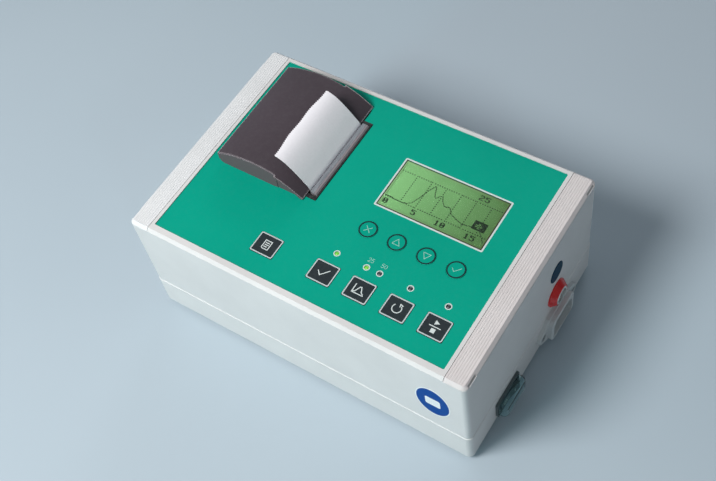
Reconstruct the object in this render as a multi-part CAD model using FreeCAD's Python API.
import FreeCAD, Part
import math
import os
from FreeCAD import Vector

# Desktop urine flow recorder, in millimetres. A two-part plastic case carries a keypad foil with a
# display, a panel printer under a bulged hood, and a mains inlet, mains switch and sensor socket in
# its right wall. Everything is drawn from the lower front left corner of the case: x to the right,
# y to the back, z up. It is moved at the end, so that the origin is the bottom centre of the whole.

# Case
CASE_LENGTH = 240.0
CASE_DEPTH = 160.0
CASE_HEIGHT = 94.0
CASE_WALL = 3.0
CORNER_RADIUS = 4.0
INNER_CORNER = 1.5
SEAM_HEIGHT = 27.5
TOP_BEVEL = 1.9
BOTTOM_ROUND = 2.0
SEAM_CHAMFER = 0.8
UPPER_INSET = 0.4
TONGUE_WIDTH = 1.0
TONGUE_HEIGHT = 0.8
GASKET_HEIGHT = 0.9
FIT = 0.15
SLIP = 0.05
HAIR = 0.02
FOOT_RADIUS = 6.0
FOOT_HEIGHT = 2.5
FOOT_CHAMFER = 0.6
FOOT_SEAT = 1.0
FOOT_INSET = 20.0

# Ribbed strips that cover the case screws
STRIP_WIDTH = 14.6
STRIP_DROP = 2.6
STRIP_INSET = 0.15
STRIP_GAP = 0.35
RIB_COUNT = 8
GROOVE_WIDTH = 0.8
GROOVE_DEPTH = 0.2
CHANNEL_DEPTH = 7.4
CHANNEL_WALL = 2.0
CHANNEL_LIP = 0.5
CLIP_HEIGHT = 4.0
CLIP_THICK = 1.2
CLIP_LENGTH = 16.0
CLIP_COUNT = 4
PRY_LENGTH = 8.5
PRY_START = 4.0
PRY_DEPTH = 1.7
PRY_HEIGHT = 1.6
SCREW_INSET_X = 9.0
SCREW_INSET_Y = 12.5
SCREW_RADIUS = 2.0
SCREW_HEAD_RADIUS = 3.5
SCREW_HEAD_HEIGHT = 2.6
SCREW_SLOT_WIDTH = 1.0
SCREW_SLOT_DEPTH = 1.1
SCREW_END_GAP = 1.0
TOWER_RADIUS = 4.5
INSERT_RADIUS = 2.9
INSERT_LENGTH = 9.0
INSERT_SINK = 0.3

# Keypad foil and lid
LID_WALL = 4.0
RECESS_DEPTH = 1.2
FOIL_THICK = 0.6
FOIL_SIDE = 17.4
FOIL_FRONT = 6.4
FOIL_BACK = 4.7
FOIL_GAP = 0.2
FOIL_CORNER = 0.6
KEY_RISE = 0.3
KEY_CORNER = 0.8
KEY_CHAMFER = 0.2
KEY_TRAVEL = 0.4
KEY_FLANGE = 1.2
KEY_FLANGE_THICK = 0.9
KEY_STEM_RADIUS = 2.5
KEY_STEM_END = 2.0
STEM_CLEAR = 0.2
STEM_GAP = 0.45
POCKET_DEPTH = 2.0
SQUARE_KEY_X = 16.4
SQUARE_KEY_Y = 14.7
SQUARE_ROW_Y = 26.8
PRINT_KEY_SHARE = 0.346
READY_KEY_SHARE = 0.5448
FLOW_KEY_SHARE = 0.6681
AUTO_KEY_SHARE = 0.7924
START_KEY_SHARE = 0.9147
ROUND_KEY_RADIUS = 6.0
ROUND_ROW_Y = 65.1
ROUND_KEY_PITCH = 20.1
LED_ROW_Y = 42.0
LED_RADIUS = 1.5
LED_CLEAR = 0.1
LED_PROUD = 0.1
LED_PITCH = 9.1
LED_SPACER_WALL = 0.5
LED_SPACER_GAP = 0.5
SWITCH_BODY = 6.0
SWITCH_BODY_HEIGHT = 3.0
PLUNGER_RADIUS = 1.7
PLUNGER_HEIGHT = 0.6
BOARD_THICK = 1.6
KEYPAD_SIDE = 10.4
KEYPAD_FRONT = 15.0
KEYPAD_BACK = 74.0
KEYPAD_STEP_SIDE = 5.2
KEYPAD_STEP_Y = 60.0
POST_INSET = 6.0
FRONT_POST_Y = 22.0
POST_Y = 48.0
POST_RADIUS = 3.0

# Display
DISPLAY_SHARE = 0.7276
DISPLAY_Y = 102.2
DISPLAY_LENGTH = 72.3
DISPLAY_DEPTH = 37.2
DISPLAY_LEDGE = 1.0
LCD_LENGTH = 76.0
LCD_DEPTH = 42.0
LCD_HEIGHT = 5.5
LCD_SHEET = 0.6
LCD_GAP = 0.2
LCD_PANEL_GAP = 0.1
LCD_FACE_GAP = 0.3
LCD_BOARD_MARGIN = 4.8
LCD_POST_RADIUS = 2.5
LCD_POST_GAP = 1.5

# Printer hood
HOOD_LEFT = 24.7
HOOD_TIP_GAP = 0.6
HOOD_FRONT_GAP = 3.7
HOOD_BACK_GAP = 2.2
HOOD_HEIGHT = 15.0
HOOD_CORNER = 8.8
HOOD_APEX_X = 53.0
HOOD_TIP_HEIGHT = 1.0
HOOD_WALL = 1.6
HOOD_SIDE_WALL = 1.3
HOOD_EDGE = 0.8
HOOD_LIFT = 0.2
NOSE_LENGTH = 19.3
NOSE_OVERHANG = 1.0
NOSE_INSET = 0.5
NOSE_LIFT = 0.1
PIVOT_HEIGHT = 4.5
PIN_RADIUS = 1.0
PIN_INSET = 0.2
LUG_RADIUS = 2.4
LUG_FOOT = 4.5
LUG_WIDTH = 4.0
LUG_INSET = 12.0
LUG_GAP = 0.4
KNUCKLE_WIDTH = 3.0

# Printer frame and paper path
FRAME_LEFT = 34.0
FRAME_FRONT = 69.0
FRAME_WALL = 1.5
SLOT_WIDTH = 6.6
SLOT_WALL = 0.9
GEAR_BAY_DEPTH = 9.2
GEAR_BAY_LENGTH = 30.0
GEAR_BAY_LEDGE = 0.3
GEAR_WALL_DROP = 8.0
FRAME_GAP = 0.3
FRAME_ROOF = 1.0
FLANGE_THICK = 0.45
FLANGE_FRONT = 1.3
FLANGE_BACK = 0.5
FLANGE_LEFT = 1.8
ROLL_DROP = 9.5
ROLL_RADIUS = 19.0
ROLL_LENGTH = 58.0
ROLL_SIDE = 2.1
CORE_RADIUS = 6.5
CORE_WALL = 1.2
SPINDLE_SIDE = 0.2
SPINDLE_END_RADIUS = 2.5
CRADLE_GAP = 2.5
PLATEN_GAP = 3.4
PLATEN_DROP = 10.0
PLATEN_RADIUS = 5.0
PLATEN_EXTRA = 0.5
SHAFT_RADIUS = 1.5
SHAFT_END = 0.6
BEARING_DEPTH = 1.0
BEARING_PLAY = 0.2
PAPER_THICK = 0.2
PAPER_GAP = 0.3
WEB_END = 0.2
STRIP_START = 0.1
TORN_TOOTH = 0.7
TORN_BOW = 1.1
TORN_WAVE = 0.3
TORN_WAVES = 5
MECHANISM_DROP = 19.0
HEAD_THICK = 1.6
HEAD_TOP_DROP = 6.0
HEAD_GAP = 0.2
BLADE_WIDTH = 2.9
BLADE_THICK = 0.5
BLADE_SIDE = 0.8
BLADE_HEIGHT = 1.5
BLADE_PITCH = 1.5
BLADE_TOOTH = 0.5
BLADE_GAP = 0.05
HOLDER_WIDTH = 5.0
HOLDER_DROP = 4.0
HOLDER_GAP = 0.1
HOLDER_STEP = 0.5
HOLDER_BEVEL = 0.8
TAB_DROP = 1.2
STRIP_PATH = ((0.25, 1.5), (2.0, 4.2), (5.9, 9.1), (11.5, 15.3), (17.9, 20.4), (24.4, 22.1))

# Feed gears
GEAR_MODULE = 0.5
PLATEN_TEETH = 18
IDLER_TEETH = 30
PINION_TEETH = 12
GEAR_WIDTH = 3.5
GEAR_PLAY = 0.06
PRESSURE_ANGLE = 20.0
ADDENDUM = 0.95
DEDENDUM = 1.25
IDLER_BEARING = -105.0
PINION_BEARING = -75.0
GEAR_CLEARANCE = 1.2
MOTOR_RADIUS = 9.0
MOTOR_LENGTH = 20.0
MOTOR_SHAFT_RADIUS = 1.0
MOTOR_SHAFT_TAIL = 1.5
MOTOR_EAR_LEFT = 4.0
MOTOR_EAR_RIGHT = 2.0
MOTOR_EAR_HEIGHT = 6.0
MOTOR_EAR_THICK = 1.0
PLATE_DROP = 42.0
PLATE_WIDTH = 30.3

# Mains inlet
INLET_Y = 108.0
INLET_Z = 14.3
INLET_FLANGE_LENGTH = 50.0
INLET_FLANGE_HEIGHT = 22.5
INLET_FLANGE_THICK = 2.8
INLET_EAR_RADIUS = 5.2
INLET_SCREW_PITCH = 40.0
INLET_SCREW_RADIUS = 1.5
INLET_HEAD_RADIUS = 2.8
INLET_HEAD_HEIGHT = 1.4
INLET_HEAD_SINK = 0.2
INLET_SLOT_WIDTH = 0.7
INLET_SLOT_DEPTH = 0.7
INLET_SCREW_TAIL = 2.0
INLET_RIM_LENGTH = 30.0
INLET_RIM_HEIGHT = 20.8
INLET_RIM_RISE = 6.0
INLET_RIM_ROUND = 4.0
INLET_RIM_EDGE = 0.7
INLET_SHOULDER = 2.0
INLET_FLANGE_EDGE = 0.6
INLET_RECESS_LENGTH = 24.4
INLET_RECESS_HEIGHT = 16.4
INLET_RECESS_DEPTH = 20.0
INLET_RECESS_CUT = 4.0
INLET_RECESS_ROUND = 1.5
INLET_BODY_LENGTH = 27.0
INLET_BODY_HEIGHT = 19.4
INLET_BODY_DEPTH = 20.0
INLET_BODY_ROUND = 2.0
PIN_LENGTH = 14.0
PIN_THICK = 2.0
PIN_BREADTH = 4.0
PIN_SPREAD = 7.0
PIN_OFFSET = 2.0
PIN_TAIL = 5.0

# Mains switch with its splash cover
SWITCH_Y = 43.8
SWITCH_Z = 13.2
SWITCH_LENGTH = 27.4
SWITCH_HEIGHT = 15.4
SWITCH_FLANGE_THICK = 1.8
SWITCH_RIM = 2.6
SWITCH_BODY_DEPTH = 18.0
SWITCH_SIDE = 1.4
SWITCH_CORNER = 1.2
SWITCH_BODY_CORNER = 0.8
SWITCH_WELL_CORNER = 0.5
SWITCH_FLOOR = 2.0
AXLE_RADIUS = 1.2
AXLE_SEAT = 0.6
AXLE_END_GAP = 0.1
ROCKER_ANGLE = 14.0
ROCKER_RISE = 4.6
ROCKER_GAP = 0.3
ROCKER_ROOT = 2.5
ROCKER_TAPER = 3.5
ROCKER_END_GAP = 0.5
ROCKER_SHARE = 0.8
ROCKER_ROUND = 0.6
SPLASH_REACH = 7.4
SPLASH_WALL = 0.8
SPLASH_ROUND = 4.0
SPLASH_EDGE = 3.6
SPLASH_MARGIN = 0.3

# Sensor socket and blanking plug
SOCKET_Y = 108.5
SOCKET_Z = 38.2
BARREL_RADIUS = 6.4
BARREL_BORE = 5.0
CONTACT_BLOCK_RADIUS = 4.5
BARREL_REACH = 4.8
BARREL_TAIL = 12.0
BARREL_CHAMFER = 0.4
SOCKET_BORE_LENGTH = 6.0
COLLAR_BASE_RADIUS = 10.0
COLLAR_TOP_RADIUS = 7.2
COLLAR_REACH = 4.5
COLLAR_FOOT = 1.0
COLLAR_EDGE = 0.5
NUT_FLATS = 17.0
NUT_THICK = 3.0
CONTACT_RADIUS = 0.6
CONTACT_CIRCLE = 2.8
CONTACT_COUNT = 5
CONTACT_DEPTH = 4.0
PLUG_Z = 62.0
PLUG_RADIUS = 7.5
PLUG_RISE = 0.6
PLUG_EDGE = 0.4
PLUG_STEM_RADIUS = 5.8
PLUG_STEM_LENGTH = 5.0
PLUG_STEM_WALL = 1.2

# Boards inside
BOARD_SIDE = 22.0
SUPPLY_SIDE = 24.0
SUPPLY_LENGTH = 66.0
BOARD_SPACE = 10.0
BOARD_CLEAR = 1.0
STANDOFF_HEIGHT = 6.0
STANDOFF_RADIUS = 3.5
BOARD_HOLE_INSET = 5.0
BOARD_HOLE_RADIUS = 1.6
BOARD_SCREW_RADIUS = 1.25
BOARD_SCREW_LENGTH = 6.0
SCREW_TIP_GAP = 0.5
BOARD_HEAD_RADIUS = 2.75
BOARD_HEAD_HEIGHT = 2.0
BATTERY_RADIUS = 10.0
BATTERY_HEIGHT = 5.0
CHIP_HEIGHT = 3.5
CONNECTOR_HEIGHT = 9.0
SUPPLY_PART_HEIGHT = 25.0
TRANSFORMER_LENGTH = 42.0
TRANSFORMER_DEPTH = 36.0
TRANSFORMER_HEIGHT = 30.0
CORE_STACK = 18.0
BOBBIN_LENGTH = 28.0
BOBBIN_LIFT = 5.0
BOBBIN_ROUND = 2.0

# Places and sizes of the parts on a board, as shares of its length and depth
CHIP_SHARES = ((0.26, 0.35, 0.21, 0.21), (0.55, 0.35, 0.12, 0.25), (0.55, 0.68, 0.12, 0.25),
               (0.76, 0.38, 0.07, 0.17), (0.29, 0.66, 0.16, 0.06))
CONNECTOR_SHARES = ((0.12, 0.62, 0.09, 0.29), (0.76, 0.70, 0.10, 0.21))
BATTERY_SHARES = (0.19, 0.19)
ROUND_PART_SHARES = ((0.24, 0.79, 0.12, 1.0), (0.55, 0.80, 0.09, 0.8))
SQUARE_PART_SHARES = ((0.21, 0.11, 0.33, 0.07, 0.4), (0.70, 0.09, 0.21, 0.18, 0.48),
                      (0.73, 0.75, 0.18, 0.14, 0.56))
TRANSFORMER_SHARES = (0.18, 0.32)

# Levels and places that follow from the sizes above
SIDE_REACH = SPLASH_REACH
FLOOR_Z = CASE_HEIGHT - RECESS_DEPTH
DECK_Z = FLOOR_Z + FOIL_THICK
LID_UNDER = CASE_HEIGHT - LID_WALL
SHELF_Z = CASE_HEIGHT - STRIP_DROP
CHANNEL_FLOOR = SHELF_Z - CHANNEL_DEPTH
CHANNEL_RIGHT = STRIP_WIDTH + STRIP_GAP
FOIL_BOX = (FOIL_SIDE, CASE_LENGTH - FOIL_SIDE, FOIL_FRONT, CASE_DEPTH - FOIL_BACK)
FOIL_LENGTH = CASE_LENGTH - 2 * FOIL_SIDE
PRINT_KEY_X = FOIL_SIDE + FOIL_LENGTH * PRINT_KEY_SHARE
READY_KEY_X = FOIL_SIDE + FOIL_LENGTH * READY_KEY_SHARE
FLOW_KEY_X = FOIL_SIDE + FOIL_LENGTH * FLOW_KEY_SHARE
AUTO_KEY_X = FOIL_SIDE + FOIL_LENGTH * AUTO_KEY_SHARE
START_KEY_X = FOIL_SIDE + FOIL_LENGTH * START_KEY_SHARE
DISPLAY_X = FOIL_SIDE + FOIL_LENGTH * DISPLAY_SHARE
LED_XS = (READY_KEY_X, FLOW_KEY_X - LED_PITCH / 2, FLOW_KEY_X + LED_PITCH / 2, AUTO_KEY_X,
          START_KEY_X)
POCKET_FLOOR = FLOOR_Z - POCKET_DEPTH
KEY_FLANGE_UNDER = FLOOR_Z - KEY_FLANGE_THICK
KEY_TOP = DECK_Z + KEY_RISE
STEM_END = LID_UNDER - KEY_STEM_END
KEYPAD_TOP = STEM_END - STEM_GAP - PLUNGER_HEIGHT - SWITCH_BODY_HEIGHT
KEYPAD_LEFT = PRINT_KEY_X - KEYPAD_SIDE
KEYPAD_RIGHT = START_KEY_X + KEYPAD_SIDE
KEYPAD_STEP_X = READY_KEY_X - KEYPAD_STEP_SIDE
KEYPAD_POSTS = ((KEYPAD_LEFT + POST_INSET, POST_Y), ((PRINT_KEY_X + READY_KEY_X) / 2, FRONT_POST_Y),
                ((FLOW_KEY_X + AUTO_KEY_X) / 2, POST_Y), (KEYPAD_RIGHT - POST_INSET, POST_Y + POST_INSET))
LCD_TOP = LID_UNDER - LCD_GAP
LCD_BOARD_TOP = LCD_TOP - LCD_HEIGHT
PIVOT_X = HOOD_LEFT + PIVOT_HEIGHT - HOOD_LIFT
PLATEN_X = FRAME_LEFT + FRAME_WALL + CRADLE_GAP + 2 * ROLL_RADIUS + PLATEN_GAP + PLATEN_RADIUS
PAPER_X = PLATEN_X + PLATEN_RADIUS + PAPER_GAP
HOOD_TIP = PAPER_X - HOOD_TIP_GAP
NOSE_START = HOOD_TIP - NOSE_LENGTH
FRAME_RIGHT = PAPER_X + SLOT_WIDTH
BAY_FRONT = FRAME_FRONT + FRAME_WALL
BAY_BACK = BAY_FRONT + ROLL_LENGTH + 2 * ROLL_SIDE
BAY_MIDDLE = (BAY_FRONT + BAY_BACK) / 2
FRAME_BACK = BAY_BACK + FRAME_WALL
GEAR_BAY_RIGHT = HOOD_TIP + GEAR_BAY_LEDGE
GEAR_BAY_BACK = FRAME_BACK + GEAR_BAY_DEPTH
HOOD_FRONT = FRAME_FRONT - HOOD_FRONT_GAP
HOOD_BACK = GEAR_BAY_BACK + HOOD_BACK_GAP
ROUND_KEY_XS = tuple(DISPLAY_X + ROUND_KEY_PITCH * k for k in (-1.5, -0.5, 0.5, 1.5))
BOARD_Z = CASE_WALL + STANDOFF_HEIGHT
SUPPLY_RIGHT = CASE_LENGTH - INLET_BODY_DEPTH - PIN_TAIL - BOARD_CLEAR
SUPPLY_LEFT = SUPPLY_RIGHT - SUPPLY_LENGTH
SUPPLY_BOARD = (SUPPLY_LEFT, SUPPLY_RIGHT, SUPPLY_SIDE, CASE_DEPTH - SUPPLY_SIDE)
MAIN_BOARD = (BOARD_SIDE, SUPPLY_LEFT - BOARD_SPACE, BOARD_SIDE, CASE_DEPTH - BOARD_SIDE)
SCREW_HOLE = BOARD_SCREW_LENGTH - BOARD_THICK + FIT
UPPER_SIDE = CASE_LENGTH - UPPER_INSET
ORIGIN = Vector(-(CASE_LENGTH + SIDE_REACH) / 2, -CASE_DEPTH / 2, FOOT_HEIGHT)
OVER = 1.0

# Directions in a section, in degrees
LOWER_LEFT = 225.0
UPPER_LEFT = 135.0
UPPER_RIGHT = 45.0


# Simple solids

def block(x0, x1, y0, y1, z0, z1):
    return Part.makeBox(x1 - x0, y1 - y0, z1 - z0, Vector(x0, y0, z0))


def disc(x, y, z0, z1, radius):
    return Part.makeCylinder(radius, z1 - z0, Vector(x, y, z0), Vector(0, 0, 1))


def rod_y(x, z, y0, y1, radius):
    return Part.makeCylinder(radius, y1 - y0, Vector(x, y0, z), Vector(0, 1, 0))


def rod_x(y, z, x0, x1, radius):
    return Part.makeCylinder(radius, x1 - x0, Vector(x0, y, z), Vector(1, 0, 0))


def join(shapes):
    """One shape from several that touch or cross."""
    shapes = list(shapes)
    return shapes[0].multiFuse(shapes[1:]).removeSplitter() if len(shapes) > 1 else shapes[0]


def edges_along(shape, axis):
    """The straight edges of a shape that run along an axis, 0 to 2."""
    found = []
    for edge in shape.Edges:
        start, end = edge.Vertexes[0].Point, edge.Vertexes[-1].Point
        step = end - start
        if abs(step[axis]) > 1e-6 and step.Length - abs(step[axis]) < 1e-6:
            found.append(edge)
    return found


def edges_at(shape, axis, level):
    """The edges of a shape that lie in the plane where axis equals level."""
    found = []
    for edge in shape.Edges:
        box = edge.BoundBox
        low = (box.XMin, box.YMin, box.ZMin)[axis]
        high = (box.XMax, box.YMax, box.ZMax)[axis]
        if abs(low - level) < 1e-4 and abs(high - level) < 1e-4:
            found.append(edge)
    return found


def rounded(x0, x1, y0, y1, z0, z1, radius, axis=2):
    """A block whose four edges along an axis are rounded."""
    plain = block(x0, x1, y0, y1, z0, z1)
    return plain.makeFillet(radius, edges_along(plain, axis))


def ring(x0, x1, y0, y1, z0, z1, radius, width):
    """A flat frame of even width around a rounded rectangle's inside."""
    inner = rounded(x0 + width, x1 - width, y0 + width, y1 - width, z0 - OVER, z1 + OVER,
                    radius - width)
    return rounded(x0, x1, y0, y1, z0, z1, radius).cut(inner)


def outline(points):
    """A closed wire through (x, z) points at y 0; a point given as a pair of points is an arc's
    middle and end."""
    edges = []
    last = Vector(points[0][0], 0, points[0][1])
    for point in list(points[1:]) + [points[0]]:
        if isinstance(point[0], tuple):
            middle = Vector(point[0][0], 0, point[0][1])
            end = Vector(point[1][0], 0, point[1][1])
            edges.append(Part.Arc(last, middle, end).toShape())
        else:
            end = Vector(point[0], 0, point[1])
            if (end - last).Length > 1e-7:
                edges.append(Part.LineSegment(last, end).toShape())
        last = end
    return Part.Wire(edges)


def extruded(points, y0, y1):
    """A solid with an (x, z) outline, from y0 to y1."""
    face = Part.Face(outline(points))
    face.translate(Vector(0, y0, 0))
    return face.extrude(Vector(0, y1 - y0, 0))


def on_arc(centre, radius, degrees):
    turn = math.radians(degrees)
    return (centre[0] + radius * math.cos(turn), centre[1] + radius * math.sin(turn))


def mirrored(shape):
    """A shape's twin on the other side of the case's middle."""
    return shape.mirror(Vector(CASE_LENGTH / 2, 0, 0), Vector(1, 0, 0))


def corners(inset_x, inset_y):
    return [(x, y) for x in (inset_x, CASE_LENGTH - inset_x) for y in (inset_y, CASE_DEPTH - inset_y)]


def board_corners(board):
    x0, x1, y0, y1 = board
    inset = BOARD_HOLE_INSET
    return [(x, y) for x in (x0 + inset, x1 - inset) for y in (y0 + inset, y1 - inset)]


# Case shells, strips, screws and feet

def seam_ring(z0, z1, width):
    """A ring that runs round the middle of the wall at the seam."""
    inset = (CASE_WALL - width) / 2
    return ring(inset, CASE_LENGTH - inset, inset, CASE_DEPTH - inset, z0, z1,
                CORNER_RADIUS - inset, width)


def lower_shell():
    shell = rounded(0, CASE_LENGTH, 0, CASE_DEPTH, 0, SEAM_HEIGHT, CORNER_RADIUS)
    shell = shell.makeFillet(BOTTOM_ROUND, edges_at(shell, 2, 0))
    shell = shell.makeChamfer(SEAM_CHAMFER, edges_at(shell, 2, SEAM_HEIGHT))
    hollow = rounded(CASE_WALL, CASE_LENGTH - CASE_WALL, CASE_WALL, CASE_DEPTH - CASE_WALL,
                     CASE_WALL, SEAM_HEIGHT + OVER, INNER_CORNER)
    shell = shell.cut(hollow)
    shell = shell.cut(seam_ring(SEAM_HEIGHT - TONGUE_HEIGHT - GASKET_HEIGHT - 2 * FIT,
                                SEAM_HEIGHT + OVER, TONGUE_WIDTH + 2 * FIT))
    towers = [disc(x, y, CASE_WALL - FIT, SEAM_HEIGHT, TOWER_RADIUS)
              for x, y in corners(SCREW_INSET_X, SCREW_INSET_Y)]
    standoffs = [disc(x, y, CASE_WALL - FIT, BOARD_Z, STANDOFF_RADIUS)
                 for board in (MAIN_BOARD, SUPPLY_BOARD) for x, y in board_corners(board)]
    shell = join([shell] + towers + standoffs)
    cuts = [disc(x, y, SEAM_HEIGHT - INSERT_LENGTH, SEAM_HEIGHT + OVER, INSERT_RADIUS)
            for x, y in corners(SCREW_INSET_X, SCREW_INSET_Y)]
    cuts += [disc(x, y, BOARD_Z - SCREW_HOLE, BOARD_Z + OVER, BOARD_SCREW_RADIUS + SLIP)
             for board in (MAIN_BOARD, SUPPLY_BOARD) for x, y in board_corners(board)]
    cuts += [disc(x, y, -OVER, FOOT_SEAT, FOOT_RADIUS + FIT) for x, y in corners(FOOT_INSET, FOOT_INSET)]
    cuts.append(inlet_cutout())
    cuts.append(switch_cutout())
    return shell.cut(Part.makeCompound(cuts))


def upper_shell():
    inset = UPPER_INSET
    shell = rounded(inset, CASE_LENGTH - inset, inset, CASE_DEPTH - inset, SEAM_HEIGHT, CASE_HEIGHT,
                    CORNER_RADIUS - inset)
    shell = shell.makeChamfer(TOP_BEVEL, edges_at(shell, 2, CASE_HEIGHT))
    hollow = rounded(CASE_WALL, CASE_LENGTH - CASE_WALL, CASE_WALL, CASE_DEPTH - CASE_WALL,
                     SEAM_HEIGHT - OVER, CHANNEL_FLOOR - CHANNEL_WALL, INNER_CORNER)
    side = CHANNEL_RIGHT + CHANNEL_WALL
    shell = shell.cut(hollow)
    shell = shell.cut(block(side, CASE_LENGTH - side, CASE_WALL, CASE_DEPTH - CASE_WALL,
                            SEAM_HEIGHT, LID_UNDER))
    towers = [disc(x, y, SEAM_HEIGHT, CHANNEL_FLOOR - CHANNEL_WALL + FIT, TOWER_RADIUS)
              for x, y in corners(SCREW_INSET_X, SCREW_INSET_Y)]
    posts = [disc(x, y, KEYPAD_TOP, LID_UNDER + FIT, POST_RADIUS) for x, y in KEYPAD_POSTS]
    posts += [disc(x, y, LCD_BOARD_TOP, LID_UNDER + FIT, LCD_POST_RADIUS) for x, y in lcd_posts()]
    shell = join([shell, seam_ring(SEAM_HEIGHT - TONGUE_HEIGHT, SEAM_HEIGHT + FIT, TONGUE_WIDTH)]
                 + towers + posts)
    cuts = [block(-OVER, CHANNEL_RIGHT, -OVER, CASE_DEPTH + OVER, SHELF_Z, CASE_HEIGHT + OVER),
            block(CASE_WALL + CHANNEL_LIP, CHANNEL_RIGHT - CHANNEL_LIP, CASE_WALL + CHANNEL_LIP,
                  CASE_DEPTH - CASE_WALL - CHANNEL_LIP, CHANNEL_FLOOR, CASE_HEIGHT)]
    cuts += [mirrored(c) for c in cuts]
    cuts += [disc(x, y, SEAM_HEIGHT - OVER, CHANNEL_FLOOR + OVER, SCREW_RADIUS + FIT)
             for x, y in corners(SCREW_INSET_X, SCREW_INSET_Y)]
    x0, x1, y0, y1 = FOIL_BOX
    cuts.append(rounded(x0 - FOIL_GAP, x1 + FOIL_GAP, y0 - FOIL_GAP, y1 + FOIL_GAP,
                        FLOOR_Z, CASE_HEIGHT + OVER, FOIL_CORNER + FOIL_GAP))
    cuts.append(printer_opening(LID_UNDER - OVER, FLOOR_Z + OVER))
    cuts.append(display_block(-DISPLAY_LEDGE, LID_UNDER - OVER, FLOOR_Z + OVER))
    cuts += [key_block(name, KEY_FLANGE + 2 * FIT, POCKET_FLOOR, FLOOR_Z + OVER) for name in KEYS]
    cuts += [disc(x, y, LID_UNDER - OVER, FLOOR_Z, KEY_STEM_RADIUS + STEM_CLEAR)
             for x, y in (KEYS[name][0:2] for name in KEYS)]
    cuts += [disc(x, LED_ROW_Y, LID_UNDER - OVER, FLOOR_Z + OVER, LED_RADIUS + LED_CLEAR) for x in LED_XS]
    cuts += [disc(x, y, LCD_BOARD_TOP - OVER, LCD_BOARD_TOP + SCREW_HOLE, BOARD_SCREW_RADIUS + SLIP)
             for x, y in lcd_posts()]
    cuts += [disc(x, y, KEYPAD_TOP - OVER, KEYPAD_TOP + SCREW_HOLE, BOARD_SCREW_RADIUS + SLIP)
             for x, y in KEYPAD_POSTS]
    cuts.append(rod_x(SOCKET_Y, SOCKET_Z, CASE_LENGTH - CASE_WALL - OVER, CASE_LENGTH + OVER,
                      BARREL_RADIUS + FIT))
    cuts.append(rod_x(SOCKET_Y, PLUG_Z, CASE_LENGTH - CASE_WALL - OVER, CASE_LENGTH + OVER,
                      PLUG_STEM_RADIUS + FIT))
    return shell.cut(Part.makeCompound(cuts))


def case_gasket():
    bottom = SEAM_HEIGHT - TONGUE_HEIGHT - GASKET_HEIGHT - FIT
    return seam_ring(bottom, bottom + GASKET_HEIGHT, TONGUE_WIDTH)


def rib_groove(x):
    """A shallow V along a strip's top."""
    half = GROOVE_WIDTH / 2
    return extruded([(x - half, CASE_HEIGHT + HAIR), (x, CASE_HEIGHT - GROOVE_DEPTH),
                     (x + half, CASE_HEIGHT + HAIR)], -OVER, CASE_DEPTH + OVER)


def left_cover_strip():
    """A ribbed strip with the lid's bevel round its outer edges, a pry notch at each end and two rows
    of clips that grip the channel below."""
    bottom = SHELF_Z + SLIP
    inset = UPPER_INSET + STRIP_INSET
    form = rounded(inset, CASE_LENGTH - inset, inset, CASE_DEPTH - inset, bottom, CASE_HEIGHT,
                   CORNER_RADIUS - inset)
    form = form.makeChamfer(TOP_BEVEL, edges_at(form, 2, CASE_HEIGHT))
    strip = form.common(block(0, STRIP_WIDTH, 0, CASE_DEPTH, bottom, CASE_HEIGHT))
    pitch = (STRIP_WIDTH - inset - TOP_BEVEL) / RIB_COUNT
    cuts = [rib_groove(STRIP_WIDTH - pitch * k) for k in range(1, RIB_COUNT)]
    cuts += [block(0, inset + PRY_DEPTH, y, y + PRY_LENGTH, bottom - OVER, bottom + PRY_HEIGHT)
             for y in (PRY_START, CASE_DEPTH - PRY_START - PRY_LENGTH)]
    strip = strip.cut(Part.makeCompound(cuts))
    span = (CASE_DEPTH - 2 * SCREW_INSET_Y - 2 * SCREW_HEAD_RADIUS - CLIP_LENGTH) / (CLIP_COUNT - 1)
    first = SCREW_INSET_Y + SCREW_HEAD_RADIUS
    clips = []
    for k in range(CLIP_COUNT):
        y = first + span * k
        for x, lean in ((CASE_WALL + CHANNEL_LIP + FIT, 1), (CHANNEL_RIGHT - CHANNEL_LIP - FIT, -1)):
            x0, x1 = sorted((x, x + lean * CLIP_THICK))
            clips.append(block(x0, x1, y, y + CLIP_LENGTH, bottom - CLIP_HEIGHT, bottom + FIT))
    return join([strip] + clips)


def right_cover_strip():
    return mirrored(left_cover_strip())


def case_screws():
    """Four long screws from the channels down into the lower shell's inserts."""
    screws = []
    for x, y in corners(SCREW_INSET_X, SCREW_INSET_Y):
        shank = disc(x, y, SEAM_HEIGHT - INSERT_LENGTH + SCREW_END_GAP, CHANNEL_FLOOR + FIT, SCREW_RADIUS)
        head = disc(x, y, CHANNEL_FLOOR, CHANNEL_FLOOR + SCREW_HEAD_HEIGHT, SCREW_HEAD_RADIUS)
        top = CHANNEL_FLOOR + SCREW_HEAD_HEIGHT
        slot = block(x - SCREW_HEAD_RADIUS, x + SCREW_HEAD_RADIUS, y - SCREW_SLOT_WIDTH / 2,
                     y + SCREW_SLOT_WIDTH / 2, top - SCREW_SLOT_DEPTH, top + OVER)
        screws.append(join([shank, head]).cut(slot))
    return Part.makeCompound(screws)


def screw_inserts():
    return Part.makeCompound([
        disc(x, y, SEAM_HEIGHT - INSERT_LENGTH, SEAM_HEIGHT - INSERT_SINK, INSERT_RADIUS - HAIR).cut(
            disc(x, y, 0, SEAM_HEIGHT + OVER, SCREW_RADIUS + HAIR))
        for x, y in corners(SCREW_INSET_X, SCREW_INSET_Y)])


def rubber_feet():
    feet = []
    for x, y in corners(FOOT_INSET, FOOT_INSET):
        foot = disc(x, y, -FOOT_HEIGHT, FOOT_SEAT, FOOT_RADIUS)
        feet.append(foot.makeChamfer(FOOT_CHAMFER, edges_at(foot, 2, -FOOT_HEIGHT)))
    return Part.makeCompound(feet)


# Keypad foil, keys, lamps and display

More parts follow.
